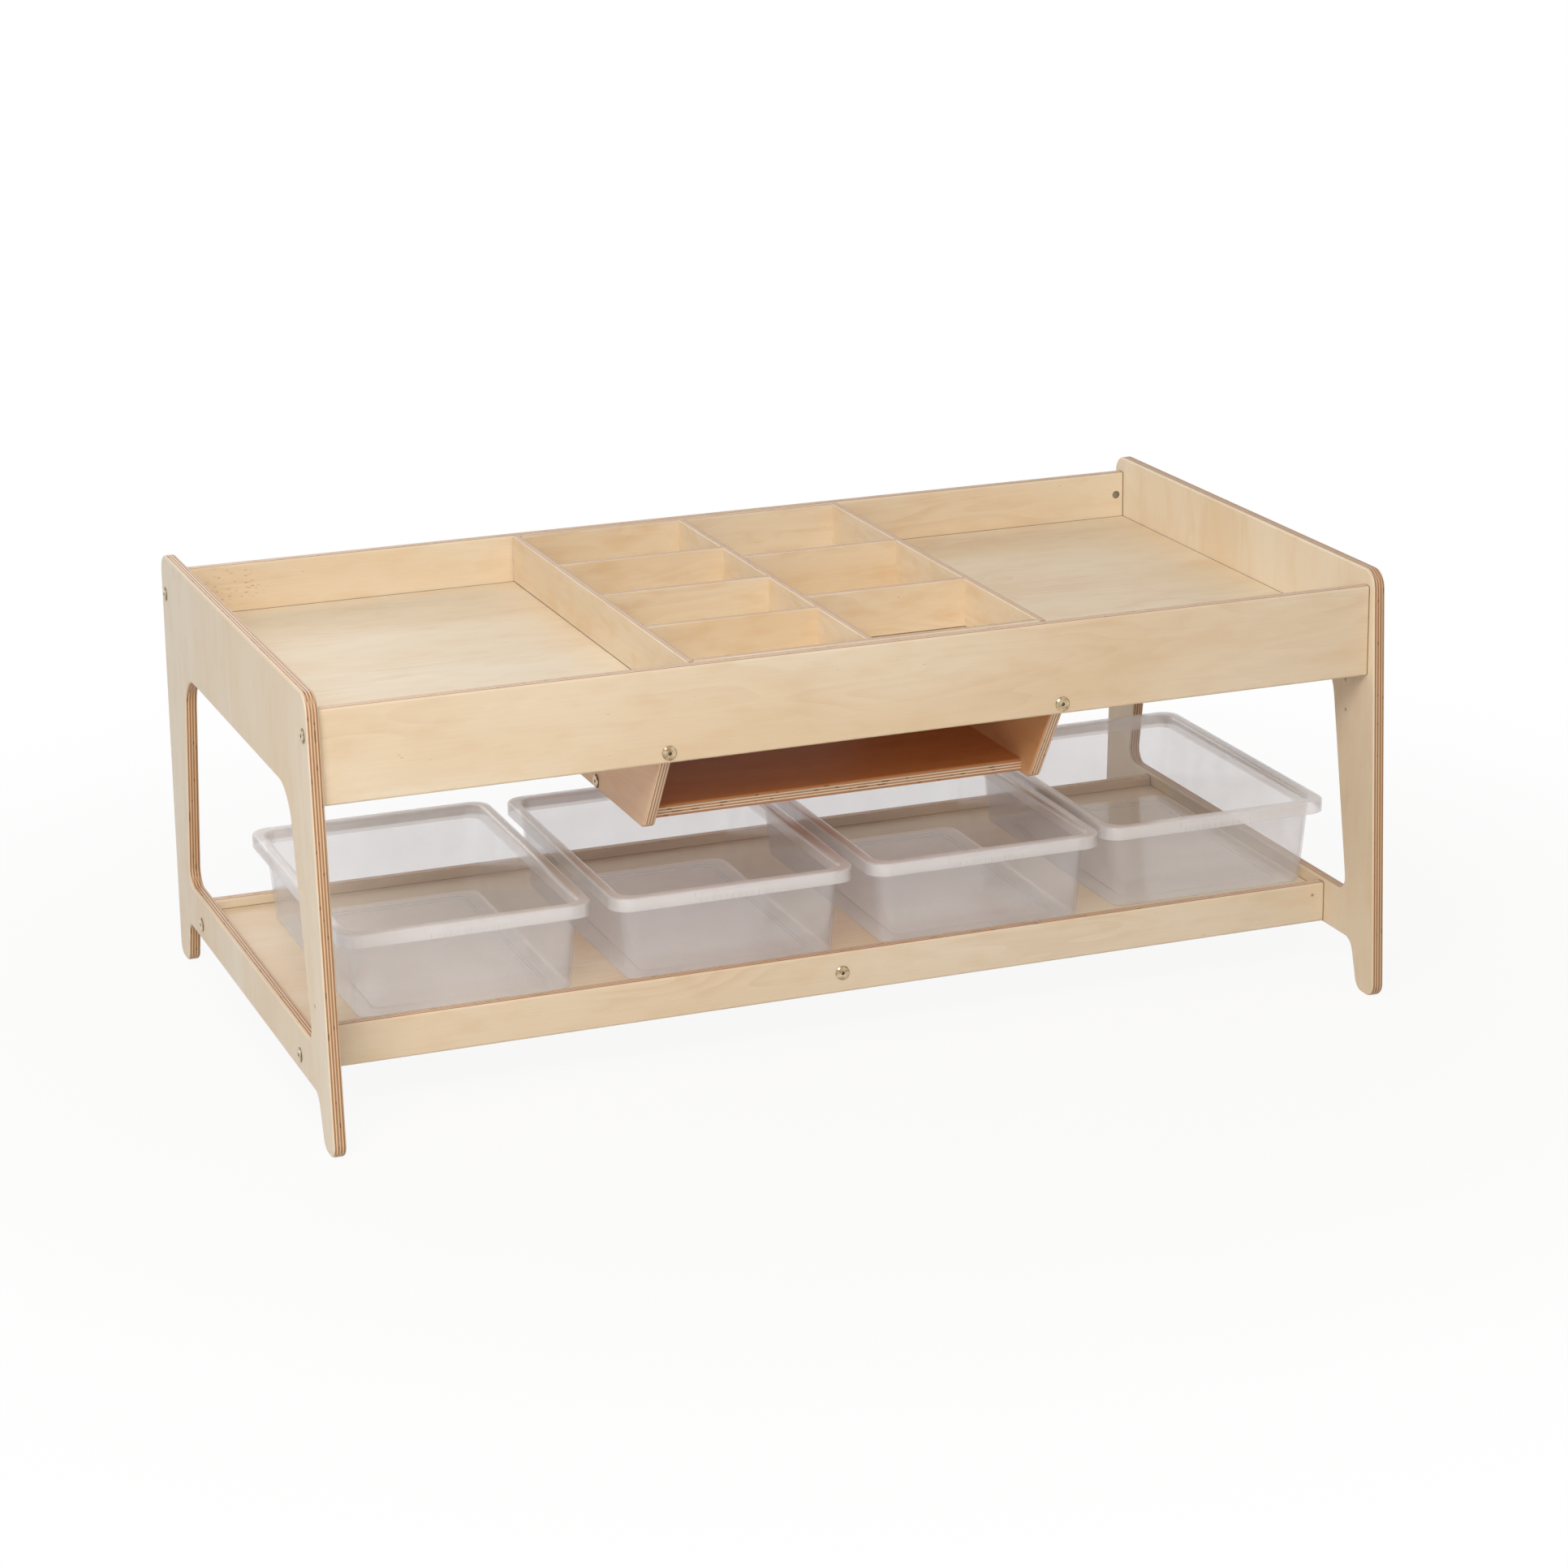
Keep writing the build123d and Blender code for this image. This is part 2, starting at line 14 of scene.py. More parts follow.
import bmesh
import bpy
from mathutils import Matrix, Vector


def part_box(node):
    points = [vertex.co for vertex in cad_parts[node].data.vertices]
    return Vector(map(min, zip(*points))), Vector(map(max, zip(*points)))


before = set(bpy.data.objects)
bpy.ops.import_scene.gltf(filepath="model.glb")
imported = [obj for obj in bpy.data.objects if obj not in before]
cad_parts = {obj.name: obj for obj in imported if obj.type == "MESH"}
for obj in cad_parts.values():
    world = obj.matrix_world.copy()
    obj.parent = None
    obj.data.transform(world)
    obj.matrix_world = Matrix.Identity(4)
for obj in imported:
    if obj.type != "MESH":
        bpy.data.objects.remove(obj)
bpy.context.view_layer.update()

MM = 0.001
PHOTO_LENS_MM = 91.47

log = logging.getLogger("play_table")


class Axis(Enum):
    """A direction of the table's own frame: along it, front to back, or up."""

    X = 0
    Y = 1
    Z = 2


def linear(hex_colour: str) -> tuple[float, float, float, float]:
    """Turn an sRGB hex colour into the linear colour that Blender's sockets hold.

    Args:
        hex_colour: six hex digits, with no sign in front.

    Returns:
        Red, green, blue and an alpha of 1.
    """
    shares = [int(hex_colour[start:start + 2], 16) / 255 for start in (0, 2, 4)]
    red, green, blue = (
        share / 12.92 if share <= 0.04045 else ((share + 0.055) / 1.055) ** 2.4
        for share in shares
    )
    return red, green, blue, 1.0


def add_node(
    tree: bpy.types.NodeTree,
    kind: str,
    inputs: dict | None = None,
    output: int | str = 0,
    **settings: object,
) -> bpy.types.NodeSocket | None:
    """Add one node to a tree, with its settings, its input values and its links.

    Args:
        tree: the tree that gets the node.
        kind: the node's type, without the ShaderNode in front.
        inputs: a value or a socket to link, for each input's name or number.
        output: the name or number of the output to return.
        **settings: the node's own properties.

    Returns:
        The output socket asked for, whose node is at .node, or None for a node without one.
    """
    node = tree.nodes.new(f"ShaderNode{kind}")
    for name, value in settings.items():
        setattr(node, name, value)
    for key, value in (inputs or {}).items():
        if isinstance(value, bpy.types.NodeSocket):
            tree.links.new(value, node.inputs[key])
        else:
            node.inputs[key].default_value = value
    return node.outputs[output] if node.outputs else None


def blank_material(name: str) -> bpy.types.Material:
    """Make an empty node material of that name."""
    material = bpy.data.materials.new(name)
    material.use_nodes = True
    material.node_tree.nodes.clear()
    return material


def dress(node: str, material: bpy.types.Material) -> None:
    """Put a material on every slot of a CAD node."""
    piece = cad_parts[node]
    for slot in piece.material_slots:
        slot.material = material


@dataclass(frozen=True)
class BirchPly:
    """Birch plywood: rotary-cut face veneers under satin lacquer, and bare sanded edges.

    The satin lacquer is rubbed down, which gives a soft broad gloss, a little duller along the
    fibre. The wood is a solid pattern in the board's own place. Within one veneer of a face it has
    the face's pale figure, and deeper in it has the plies, turn by turn with the grain and
    across it, so a rounded edge cuts through them as a real one does.
    """

    node: str
    grain: Axis
    plies: int
    seed: float
    light: str = "F2E5CE"
    warm: str = "EBD5B4"
    amber: str = "E0BE90"
    figure: str = "C8A077"
    fleck: str = "84532F"
    long_ply: str = "F3E0C6"
    end_ply: str = "C08F68"
    glue: str = "8A5A3A"
    # The dark in the plies' voids, and the painted shade along the joints between boards
    void_and_painted_shade: str = "5B3A22"
    patch_fleck: str = "B07A45"
    figure_strength: float = 0.16
    mottle: float = 0.24
    streak: float = 0.045
    glue_reach: float = 0.25
    knots: tuple[tuple[float, float, float, float], ...] = ()
    # Planes along which a painted shade line runs, where the board meets its neighbour
    painted_shade_lines: tuple[tuple[Axis, float], ...] = ()
    fleck_patch: tuple[Vector, Vector] | None = None

    def board(self) -> tuple[Axis, float, float]:
        """Find the thin axis of the board, its low face and its thickness, in mm."""
        low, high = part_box(self.node)
        spans = [(high[axis.value] - low[axis.value], axis) for axis in Axis]
        thickness, thin = min(spans, key=lambda span: span[0])
        return thin, low[thin.value] / MM, thickness / MM

    def pattern(
        self,
        tree: bpy.types.NodeTree,
        grain_place: bpy.types.NodeSocket,
        along: float,
        across: float,
        detail: float,
    ) -> bpy.types.NodeSocket:
        """Add a noise whose cells have a real size along and across the grain.

        Args:
            tree: the material's tree.
            grain_place: the place along the grain, across it and by board, in mm.
            along: a cell's length along the grain, in mm.
            across: a cell's width across the grain, in mm.
            detail: how many finer layers the noise has.

        Returns:
            The noise, from 0 to 1.
        """
        scaled = add_node(
            tree,
            "VectorMath",
            {0: grain_place, 1: (1 / along, 1 / across, 1 / 40)},
            operation="MULTIPLY",
        )
        return add_node(tree, "TexNoise", {"Vector": scaled, "Scale": 1.0, "Detail": detail})

    def face_colour(
        self, tree: bpy.types.NodeTree, place: bpy.types.NodeSocket
    ) -> tuple[bpy.types.NodeSocket, bpy.types.NodeSocket]:
        """Colour the face veneer: soft clouds, wandering growth rings, fibre and pith flecks.

        Args:
            tree: the material's tree.
            place: the place along the grain, across it and by board, in mm.

        Returns:
            The colour, and the fibre's height for the bump.
        """
        clouds = self.pattern(tree, place, 420, 150, 2)
        tone = add_node(tree, "MapRange", {0: clouds, 1: 0.3, 2: 0.7})
        base = add_node(
            tree, "Mix", {0: tone, 6: linear(self.light), 7: linear(self.warm)}, 2, data_type="RGBA"
        )
        # Birch takes lacquer unevenly, which leaves soft amber patches a few centimetres long
        soaked = self.pattern(tree, place, 54, 20, 3)
        patch = add_node(tree, "MapRange", {0: soaked, 1: 0.48, 2: 0.72, 4: self.mottle})
        base = add_node(
            tree, "Mix", {0: patch, 6: base, 7: linear(self.amber)}, 2, data_type="RGBA"
        )
        # Rotary cutting follows a ring round the log, so the rings show as long wandering arcs
        wander = self.pattern(tree, place, 560, 80, 2)
        rings = add_node(tree, "Math", {0: wander, 1: 15.0}, operation="MULTIPLY")
        teeth = add_node(tree, "Math", {0: rings}, operation="FRACT")
        late_wood = add_node(
            tree, "MapRange", {0: teeth, 1: 0.2, 2: 0.98}, interpolation_type="SMOOTHSTEP"
        )
        # The rings show in some parts of a sheet and fade out in others
        fade = self.pattern(tree, place, 230, 70, 1)
        fade = add_node(tree, "MapRange", {0: fade, 1: 0.44, 2: 0.7, 4: self.figure_strength})
        ring_share = add_node(tree, "Math", {0: late_wood, 1: fade}, operation="MULTIPLY")
        figured = add_node(
            tree, "Mix", {0: ring_share, 6: base, 7: linear(self.figure)}, 2, data_type="RGBA"
        )
        # The real pores are a quarter of a millimetre wide, and are drawn wider so that they show
        fibre = self.pattern(tree, place, 75, 1.4, 3)
        fibre_tone = add_node(
            tree, "MapRange", {0: fibre, 1: 0.3, 2: 0.75, 3: 1.02, 4: 1.02 - self.streak}
        )
        brushed = add_node(tree, "VectorMath", {0: figured, "Scale": fibre_tone}, operation="SCALE")
        return self.with_flecks(tree, place, brushed), fibre

    def with_flecks(
        self, tree: bpy.types.NodeTree, place: bpy.types.NodeSocket, colour: bpy.types.NodeSocket
    ) -> bpy.types.NodeSocket:
        """Scatter the short brown pith flecks of birch, about 4 mm long, over a colour.

        Args:
            tree: the material's tree.
            place: the place along the grain, across it and by board, in mm.
            colour: the wood's colour without them.

        Returns:
            The colour with the flecks.
        """
        cells = add_node(
            tree, "VectorMath", {0: place, 1: (1 / 34, 1 / 9, 1 / 60)}, operation="MULTIPLY"
        )
        distance = add_node(tree, "TexVoronoi", {"Vector": cells, "Scale": 1.0}, "Distance")
        chance = add_node(tree, "SeparateColor", {0: distance.node.outputs["Color"]})
        near = add_node(tree, "MapRange", {0: distance, 1: 0.075, 2: 0.03})
        chosen = add_node(tree, "Math", {0: chance, 1: 0.86}, operation="GREATER_THAN")
        share = add_node(tree, "Math", {0: near, 1: chosen}, operation="MULTIPLY")
        share = add_node(tree, "Math", {0: share, 1: 0.42}, operation="MULTIPLY")
        return add_node(
            tree, "Mix", {0: share, 6: colour, 7: linear(self.fleck)}, 2, data_type="RGBA"
        )

    def with_knots(
        self, tree: bpy.types.NodeTree, spot: bpy.types.NodeSocket, colour: bpy.types.NodeSocket
    ) -> bpy.types.NodeSocket:
        """Set the board's own pin knots, each a dark heart in a soft brown ring.

        Args:
            tree: the material's tree.
            spot: the place in the table's frame, in mm.
            colour: the wood's colour without them.

        Returns:
            The colour with the knots.
        """
        for *centre, radius in self.knots:
            gap = add_node(tree, "VectorMath", {0: spot, 1: centre}, "Value", operation="DISTANCE")
            share = add_node(tree, "MapRange", {0: gap, 1: radius * 1.6, 2: radius * 0.3, 4: 0.75})
            colour = add_node(
                tree, "Mix", {0: share, 6: colour, 7: linear(self.fleck)}, 2, data_type="RGBA"
            )
        return colour

    def with_fleck_patch(
        self, tree: bpy.types.NodeTree, spot: bpy.types.NodeSocket, colour: bpy.types.NodeSocket
    ) -> bpy.types.NodeSocket:
        """Crowd one patch of an X-grained face with rows of brown flecks, where a twig once grew.

        Args:
            tree: the material's tree.
            spot: the place in the table's frame, in mm.
            colour: the wood's colour without them.

        Returns:
            The colour with the flecks.
        """
        if self.fleck_patch is None:
            return colour
        low, high = self.fleck_patch
        middle = (low + high) / 2
        half = (high - low) / 2
        offset = add_node(tree, "VectorMath", {0: spot, 1: middle}, operation="SUBTRACT")
        share = add_node(
            tree, "VectorMath", {0: offset, 1: [1 / size for size in half]}, operation="MULTIPLY"
        )
        reach = add_node(tree, "VectorMath", {0: share}, "Value", operation="LENGTH")
        inside = add_node(tree, "MapRange", {0: reach, 1: 1.1, 2: 0.6})
        rows = add_node(
            tree, "VectorMath", {0: spot, 1: (1 / 9, 0.0, 1 / 3.6)}, operation="MULTIPLY"
        )
        distance = add_node(
            tree, "TexVoronoi", {"Vector": rows, "Scale": 1.0, "Randomness": 0.8}, "Distance"
        )
        near = add_node(tree, "MapRange", {0: distance, 1: 0.36, 2: 0.1, 4: 0.5})
        amount = add_node(tree, "Math", {0: near, 1: inside}, operation="MULTIPLY")
        return add_node(
            tree, "Mix", {0: amount, 6: colour, 7: linear(self.patch_fleck)}, 2, data_type="RGBA"
        )

    def with_painted_shade_lines(
        self, tree: bpy.types.NodeTree, parts: bpy.types.NodeOutputs, colour: bpy.types.NodeSocket
    ) -> bpy.types.NodeSocket:
        """Paint a soft dark line of shade, about 2 mm wide, where the board runs into its
        neighbour.

        Args:
            tree: the material's tree.
            parts: the place along each axis of the table's frame, in mm.
            colour: the wood's colour without them.

        Returns:
            The colour with the lines.
        """
        for axis, where in self.painted_shade_lines:
            gap = add_node(tree, "Math", {0: parts[axis.value], 1: where}, operation="SUBTRACT")
            gap = add_node(tree, "Math", {0: gap}, operation="ABSOLUTE")
            # Painted shade, darkest on the joint's own plane
            share = add_node(tree, "MapRange", {0: gap, 1: 1.4, 2: 0.6, 4: 0.85})
            colour = add_node(
                tree, "Mix", {0: share, 6: colour, 7: linear(self.void_and_painted_shade)}, 2, data_type="RGBA"
            )
        return colour

    def edge_colour(
        self,
        tree: bpy.types.NodeTree,
        place: bpy.types.NodeSocket,
        depth: bpy.types.NodeSocket,
        thickness: float,
    ) -> bpy.types.NodeSocket:
        """Colour the plies as an edge cuts them, pale with the grain and brown across it.

        Args:
            tree: the material's tree.
            place: the place along the grain, across it and by board, in mm.
            depth: the depth under the board's low face, in mm.
            thickness: the board's thickness, in mm.

        Returns:
            The colour of the edge.
        """
        # A 15 mm sheet has eleven or more plies. It is drawn with nine, as finer ones don't show
        ply = thickness / self.plies
        count = add_node(tree, "Math", {0: depth, 1: ply}, operation="DIVIDE")
        layer = add_node(tree, "Math", {0: count}, operation="FLOOR")
        crosswise = add_node(tree, "Math", {0: layer, 1: 2.0}, operation="FLOORED_MODULO")
        # A ply that runs with the edge is pale, and one cut across it drinks lacquer and is brown
        normal = add_node(tree, "TexCoord", output="Normal")
        facing = add_node(tree, "SeparateXYZ", {0: normal}).node.outputs[self.grain.value]
        turned = add_node(tree, "Math", {0: facing}, operation="ABSOLUTE")
        turned = add_node(tree, "MapRange", {0: turned, 1: 0.45, 2: 0.85})
        swap = add_node(tree, "Math", {0: crosswise, 1: turned}, operation="SUBTRACT")
        brown = add_node(tree, "Math", {0: swap}, operation="ABSOLUTE")
        steps = add_node(tree, "CombineXYZ", {0: layer, 1: self.seed})
        shade = add_node(tree, "TexWhiteNoise", {"Vector": steps}, "Value")
        patches = self.pattern(tree, place, 70, 40, 2)
        mixed = add_node(tree, "Math", {0: shade, 1: patches}, operation="ADD")
        variation = add_node(tree, "MapRange", {0: mixed, 1: 0.3, 2: 1.5, 3: 0.88, 4: 1.1})
        plain = add_node(
            tree,
            "Mix",
            {0: brown, 6: linear(self.long_ply), 7: linear(self.end_ply)},
            2,
            data_type="RGBA",
        )
        toned = add_node(tree, "VectorMath", {0: plain, "Scale": variation}, operation="SCALE")
        # The glue lines between the plies, drawn wider than they are so that they show
        within = add_node(tree, "Math", {0: count}, operation="FRACT")
        centred = add_node(tree, "Math", {0: within, 1: 0.5}, operation="SUBTRACT")
        off_centre = add_node(tree, "Math", {0: centred}, operation="ABSOLUTE")
        line = add_node(
            tree, "MapRange", {0: off_centre, 1: 0.5 - self.glue_reach / ply, 2: 0.5, 4: 0.6}
        )
        glued = add_node(
            tree, "Mix", {0: line, 6: toned, 7: linear(self.glue)}, 2, data_type="RGBA"
        )
        # Small voids where two strips of an inner ply don't quite meet
        gaps = add_node(tree, "CombineXYZ", {0: layer, 1: self.seed, 2: 7.0})
        shifted = add_node(
            tree, "VectorMath", {0: gaps, 1: (37.0, 11.0, 0.0)}, operation="MULTIPLY"
        )
        spot = add_node(tree, "VectorMath", {0: place, 1: shifted}, operation="ADD")
        void = self.pattern(tree, spot, 13, 13, 1)
        void = add_node(tree, "Math", {0: shade, 1: 0.16, 2: void}, operation="MULTIPLY_ADD")
        open_joint = add_node(tree, "MapRange", {0: void, 1: 0.74, 2: 0.78, 4: 0.7})
        open_joint = add_node(tree, "Math", {0: open_joint, 1: brown}, operation="MULTIPLY")
        return add_node(
            tree, "Mix", {0: open_joint, 6: glued, 7: linear(self.void_and_painted_shade)}, 2, data_type="RGBA"
        )

    def build(self) -> bpy.types.Material:
        """Build the board's own material.

        Returns:
            The finished material, named after the board.
        """
        material = blank_material(f"birch_ply_{self.node}")
        tree = material.node_tree
        thin, low, thickness = self.board()
        across = next(axis for axis in Axis if axis not in (thin, self.grain))
        spot = add_node(
            tree,
            "VectorMath",
            {0: add_node(tree, "TexCoord", output="Object"), "Scale": 1 / MM},
            operation="SCALE",
        )
        parts = add_node(tree, "SeparateXYZ", {0: spot}).node.outputs
        depth = add_node(tree, "Math", {0: parts[thin.value], 1: low}, operation="SUBTRACT")
        # Each side of each board has a veneer of its own, cut from another part of the noise
        side = add_node(tree, "Math", {0: depth, 1: thickness / 2}, operation="GREATER_THAN")
        leaf = add_node(
            tree, "Math", {0: side, 1: 173.0, 2: self.seed * 211.0}, operation="MULTIPLY_ADD"
        )
        place = add_node(
            tree, "CombineXYZ", {0: parts[self.grain.value], 1: parts[across.value], 2: leaf}
        )
        face, fibre = self.face_colour(tree, place)
        face = self.with_fleck_patch(tree, spot, self.with_knots(tree, spot, face))
        edge = self.edge_colour(tree, place, depth, thickness)
        veneer = thickness / self.plies
        centred = add_node(tree, "Math", {0: depth, 1: thickness / 2}, operation="SUBTRACT")
        from_middle = add_node(tree, "Math", {0: centred}, operation="ABSOLUTE")
        inner = thickness / 2 - veneer
        is_face = add_node(tree, "MapRange", {0: from_middle, 1: inner, 2: inner + 0.15})
        colour = add_node(tree, "Mix", {0: is_face, 6: edge, 7: face}, 2, data_type="RGBA")
        colour = self.with_painted_shade_lines(tree, parts, colour)
        gloss = add_node(tree, "MapRange", {0: fibre, 1: 0.2, 2: 0.8, 3: 0.42, 4: 0.56})
        bump = add_node(tree, "Bump", {"Strength": 0.12, "Distance": 0.0004, "Height": fibre})
        shader = add_node(
            tree,
            "BsdfPrincipled",
            {
                "Base Color": colour,
                "Roughness": gloss,
                "Normal": bump,
                "Coat Weight": 0.08,
                "Coat Roughness": 0.3,
            },
        )
        add_node(tree, "OutputMaterial", {"Surface": shader})
        return material


@dataclass(frozen=True)
class ClearPolypropylene:
    """Clear polypropylene, injection moulded: see-through, with a milky haze and a soft gloss.

    The haze is a share of a white shell over a plain view through. It is small where the eye
    looks straight through a wall, and larger along a slanted wall and in the folded rim.
    """

    name: str = "clear_polypropylene"
    haze_colour: str = "FCFCFF"
    haze: float = 0.2
    edge_haze: float = 0.5
    rim_haze: float = 0.2
    rim_mm: float = 16.5
    sample_tray: str = "tray_1"
    unseen_share: float = 0.12
    ior: float = 1.49
    wave_mm: float = 42.0
    blast_mm: float = 7.0

    def build(self) -> bpy.types.Material:
        """Build the material.

        Returns:
            The finished material.
        """
        material = blank_material(self.name)
        tree = material.node_tree
        place = add_node(tree, "TexCoord", output="Object")
        # The mould's slow waviness bends the highlights, and its fine blasting dulls them a little
        slow = add_node(
            tree, "TexNoise", {"Vector": place, "Scale": 1 / (self.wave_mm * MM), "Detail": 2.0}
        )
        fine = add_node(
            tree, "TexNoise", {"Vector": place, "Scale": 1 / (self.blast_mm * MM), "Detail": 3.0}
        )
        roughness = add_node(tree, "MapRange", {0: fine, 1: 0.3, 2: 0.7, 3: 0.07, 4: 0.15})
        bump = add_node(tree, "Bump", {"Strength": 0.1, "Distance": 0.0002, "Height": slow})
        shell = add_node(
            tree,
            "BsdfPrincipled",
            {
                "Base Color": linear(self.haze_colour),
                "Roughness": roughness,
                "IOR": self.ior,
                "Specular IOR Level": 0.9,
                "Normal": bump,
            },
        )
        # Looking along a wall passes more plastic than looking through it, so the haze is thicker
        slant = add_node(tree, "LayerWeight", {"Blend": 0.35}, "Facing")
        steep = add_node(tree, "Math", {0: slant, 1: 2.2}, operation="POWER")
        flow = add_node(tree, "MapRange", {0: slow, 1: 0.25, 2: 0.75, 3: 0.92, 4: 1.1})
        haze = add_node(tree, "MapRange", {0: steep, 3: self.haze, 4: self.edge_haze})
        haze = add_node(tree, "Math", {0: haze, 1: flow}, operation="MULTIPLY")
        # The rim is a folded, double wall, so it is milkier than the tub below it
        rim_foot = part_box(self.sample_tray)[1][2] - self.rim_mm * MM
        height = add_node(tree, "SeparateXYZ", {0: place}, "Z")
        in_rim = add_node(
            tree, "MapRange", {0: height, 1: rim_foot, 2: rim_foot + MM, 4: self.rim_haze}
        )
        haze = add_node(tree, "Math", {0: haze, 1: in_rim}, operation="ADD")
        # Haze scatters light forward, so the light that lights other things passes nearly whole
        is_seen = add_node(tree, "LightPath", output="Is Camera Ray")
        dimming = add_node(tree, "MapRange", {0: is_seen, 3: self.unseen_share, 4: 1.0})
        share = add_node(tree, "Math", {0: haze, 1: dimming}, operation="MULTIPLY")
        view_through = add_node(tree, "BsdfTransparent", {"Color": linear("FCFCFD")})
        surface = add_node(tree, "MixShader", {0: share, 1: view_through, 2: shell})
        add_node(tree, "OutputMaterial", {"Surface": surface})
        return material


@dataclass(frozen=True)
class PlatedSteel:
    """Turned steel, plated in a bath: a bright or a dull metal with faint warm clouds in it.

    The bright plating mirrors the room in a small hard highlight, and the dull one glows softly.
    The bright plating's tan colour and brown clouds, warmer than nickel, are partly a painted
    reflection of the brown wood round it. Both platings get painted shade in their hollows.
    The specks are coarser than the real ones, so that they show.
    """

    name: str
    colour: str
    # The clouds' second colour: on the bright plating partly a painted reflection of the brown wood
    shade: str
    roughness: float
    speck_mm: float = 0.5
    cloud_mm: float = 5.0
    # The dark of the painted shade in the socket and under the head
    painted_hollow_shade: str = "2A211A"

    def build(self) -> bpy.types.Material:
        """Build the material.

        Returns:
            The finished material.
        """
        material = blank_material(self.name)
        tree = material.node_tree
        place = add_node(tree, "TexCoord", output="Object")
        specks = add_node(
            tree, "TexNoise", {"Vector": place, "Scale": 1 / (self.speck_mm * MM), "Detail": 2.0}
        )
        clouds = add_node(
            tree, "TexNoise", {"Vector": place, "Scale": 1 / (self.cloud_mm * MM), "Detail": 1.0}
        )
        tone = add_node(tree, "MapRange", {0: clouds, 1: 0.3, 2: 0.7})
        colour = add_node(
            tree,
            "Mix",
            {0: tone, 6: linear(self.colour), 7: linear(self.shade)},
            2,
            data_type="RGBA",
        )
        # Painted shade: the socket and the foot of the head darken where ambient occlusion finds
        # cover
        open_sky = add_node(tree, "AmbientOcclusion", {"Distance": 0.006}, "AO", samples=8)
        shelter = add_node(tree, "MapRange", {0: open_sky, 1: 0.5, 2: 0.95})
        colour = add_node(
            tree, "Mix", {0: shelter, 6: linear(self.painted_hollow_shade), 7: colour}, 2, data_type="RGBA"
        )
        roughness = add_node(
            tree,
            "MapRange",
            {0: specks, 1: 0.3, 2: 0.7, 3: self.roughness * 0.8, 4: self.roughness * 1.3},
        )
        bump = add_node(tree, "Bump", {"Strength": 0.05, "Distance": 0.0001, "Height": specks})
        shader = add_node(
            tree,
            "BsdfPrincipled",
            {"Base Color": colour, "Metallic": 1.0, "Roughness": roughness, "Normal": bump},
        )
        add_node(tree, "OutputMaterial", {"Surface": shader})
        return material


@dataclass(frozen=True)
class TurnedBeech:
    """Beech dowel rod, turned and left bare: pinkish tan and matt, with short dark ray flecks."""

    name: str = "turned_beech"
    light: str = "D9B088"
    dark: str = "B98A62"
    fleck_length_mm: float = 6.0
    fleck_width_mm: float = 0.8

    def build(self) -> bpy.types.Material:
        """Build the material.

        Returns:
            The finished material.
        """
        material = blank_material(self.name)
        tree = material.node_tree
        along = 1 / (self.fleck_length_mm * MM)
        across = 1 / (self.fleck_width_mm * MM)
        place = add_node(
            tree,
            "VectorMath",
            {0: add_node(tree, "TexCoord", output="Object"), 1: (along, across, across)},
            operation="MULTIPLY",
        )
        flecks = add_node(tree, "TexNoise", {"Vector": place, "Scale": 1.0, "Detail": 2.0})
        tone = add_node(tree, "MapRange", {0: flecks, 1: 0.35, 2: 0.7})
        colour = add_node(
            tree, "Mix", {0: tone, 6: linear(self.light), 7: linear(self.dark)}, 2, data_type="RGBA"
        )
        shader = add_node(tree, "BsdfPrincipled", {"Base Color": colour, "Roughness": 0.6})
        add_node(tree, "OutputMaterial", {"Surface": shader})
        return material


@dataclass
class EndPanels:
    """The two end panels, with their grain upright.

    A knot is its place in the table's frame and its radius, all in mm.
    """

    plies: int = 9
    left_knots: tuple = ((-650.0, -322.0, 164.4, 2.2),)
    right_knots: tuple = ((635.0, -287.9, 378.0, 2.0), (635.0, -289.9, 341.2, 2.0))
    figure_strength: float = 0.08
    mottle: float = 0.2
    streak: float = 0.025
    long_ply: str = "E4C8A6"
    end_ply: str = "AA7A52"

    def dress_all(self) -> list[str]:
        """Give both panels their plywood and return their names."""
        panels = (
            ("end_panel_left", 1.0, self.left_knots),
            ("end_panel_right", 2.0, self.right_knots),
        )
        for name, seed, knots in panels:
            board = BirchPly(
                name,
                Axis.Z,
                self.plies,
                seed,
                knots=knots,
                figure_strength=self.figure_strength,
                mottle=self.mottle,
                streak=self.streak,
                long_ply=self.long_ply,
                end_ply=self.end_ply,
            )
            dress(name, board.build())
        return [name for name, _, _ in panels]


@dataclass
class PlayTray:
    """The two upper rails and the floor between them, with their grain along the table."""

    rail_plies: int = 9
    floor_plies: int = 7
    end_mm: float = 634.8
    side_mm: float = 324.8
    patch: tuple[Vector, Vector] = (Vector((-616.0, 300.0, 452.0)), Vector((-524.0, 350.0, 506.0)))

    def dress_all(self) -> list[str]:
        """Give the rails and the floor their plywood and return their names."""
        # Painted shade lines run along the joints at the boards' ends and sides
        ends = ((Axis.X, -self.end_mm), (Axis.X, self.end_mm))
        sides = ((Axis.Y, -self.side_mm), (Axis.Y, self.side_mm))
        boards = (
            BirchPly("front_rail", Axis.X, self.rail_plies, 3.0, painted_shade_lines=ends),
            BirchPly(
                "back_rail", Axis.X, self.rail_plies, 4.0, painted_shade_lines=ends, fleck_patch=self.patch
            ),
            BirchPly(
                "top_floor",
                Axis.X,
                self.floor_plies,
                5.0,
                mottle=0.25,
                streak=0.025,
                painted_shade_lines=ends + sides,
            ),
        )
        for board in boards:
            dress(board.node, board.build())
        return [board.node for board in boards]


